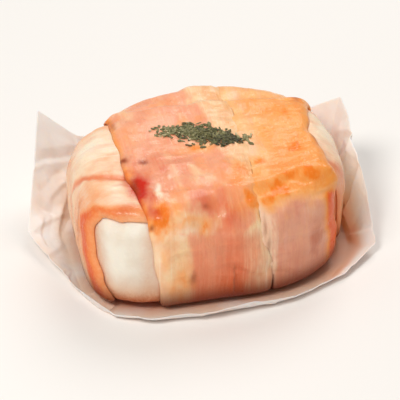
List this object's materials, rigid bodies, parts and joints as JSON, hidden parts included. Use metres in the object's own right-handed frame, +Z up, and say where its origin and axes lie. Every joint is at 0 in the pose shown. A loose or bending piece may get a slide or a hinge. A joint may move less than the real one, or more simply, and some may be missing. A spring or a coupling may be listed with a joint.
{
  "type": "bacon-wrapped goat cheese",
  "caption": "Small round goat cheese wrapped crosswise in bacon, with chopped herbs on top, standing in a creased sheet of paper.",
  "frame": {"origin": "on the face that the paper rests on, under the middle of the cheese", "axes": "+Z up, -Y towards the side that the picture shows, +X to its right; the rashers run 12 degrees round from X and Y"},
  "size_m": [0.0799, 0.0762, 0.0274],
  "materials": {
    "goat_cheese": "matt",
    "bacon_under": "satin",
    "bacon_over_left": "satin",
    "bacon_over_right": "satin",
    "paper": "matt"
  },
  "bodies": {
    "root": {"goat_cheese": "goat_cheese", "bacon_under": "bacon_under", "bacon_over_left": "bacon_over_left", "bacon_over_right": "bacon_over_right", "paper": "paper"}
  },
  "joints": []
}
